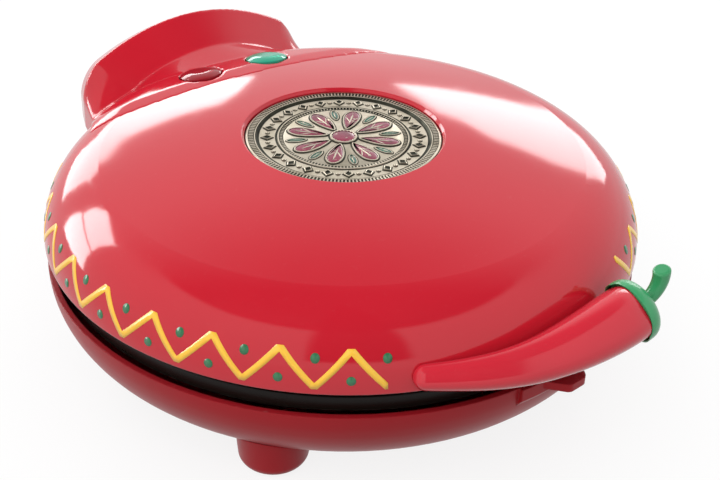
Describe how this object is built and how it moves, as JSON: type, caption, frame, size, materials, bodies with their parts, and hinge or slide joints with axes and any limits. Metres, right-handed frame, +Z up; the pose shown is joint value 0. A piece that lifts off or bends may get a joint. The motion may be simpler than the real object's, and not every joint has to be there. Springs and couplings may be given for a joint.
{
  "type": "quesadilla maker",
  "caption": "Round countertop quesadilla maker: domed lid with pepper-shaped handle and rear hinge hood, non-stick plates that close on each other, shallow base on feet.",
  "frame": {"origin": "on the table, where the centre line of the round body meets it", "axes": "+Z up, the front with the pepper handle towards -Y, the hinge towards +Y, +X to the right seen from the front"},
  "size_m": [0.26, 0.3035, 0.1045],
  "materials": {
    "housing_red": "high gloss",
    "non_stick": "satin non-stick coating on a cast plate",
    "element_steel": "satin",
    "shield_aluminium": "bright",
    "screw_steel": "satin",
    "rubber_black": "matte",
    "ceramic_white": "matte ceramic",
    "lead_sleeve": "matte silicone sleeve",
    "pewter": "antiqued cast metal with coloured enamel",
    "lens_red": "translucent gloss",
    "lens_green": "translucent gloss",
    "lamp_glass": "clear",
    "pepper_green": "gloss"
  },
  "bodies": {
    "base": {"base_shell": "housing_red", "bottom_pan": "housing_red", "pan_screws": "screw_steel", "foot_front_left": "housing_red", "foot_front_right": "housing_red", "foot_rear_right": "housing_red", "foot_rear_left": "housing_red", "foot_pads": "rubber_black", "foot_screws": "screw_steel", "cord_inlet": "rubber_black", "hinge_pin_left": "screw_steel", "hinge_pin_right": "screw_steel", "lower_plate": "non_stick", "lower_plate_screws": "screw_steel", "lower_heating_element": "element_steel", "lower_heat_shield": "shield_aluminium", "lower_thermostat": "element_steel", "thermal_fuse": "element_steel", "base_terminal_block": "ceramic_white", "base_lead": "lead_sleeve"},
    "lid": {"lid_shell": "housing_red", "upper_plate": "non_stick", "upper_plate_screws": "screw_steel", "upper_heating_element": "element_steel", "upper_heat_shield": "shield_aluminium", "upper_thermostat": "element_steel", "lid_terminal_block": "ceramic_white", "lid_lead": "lead_sleeve", "hinge_hood": "housing_red", "hood_screws": "screw_steel", "medallion": "pewter", "signal_lens_red": "lens_red", "signal_lens_green": "lens_green", "pilot_lamps": "lamp_glass", "pepper_handle": "housing_red", "handle_screws": "screw_steel", "pepper_calyx": "pepper_green", "pepper_stem": "pepper_green"}
  },
  "joints": [
    {"name": "lid_hinge", "type": "hinge", "parent": "base", "child": "lid", "pos_m": [0, 0.14, 0.052], "axis": [-1, 0, 0], "range_deg": [0, 100]}
  ]
}
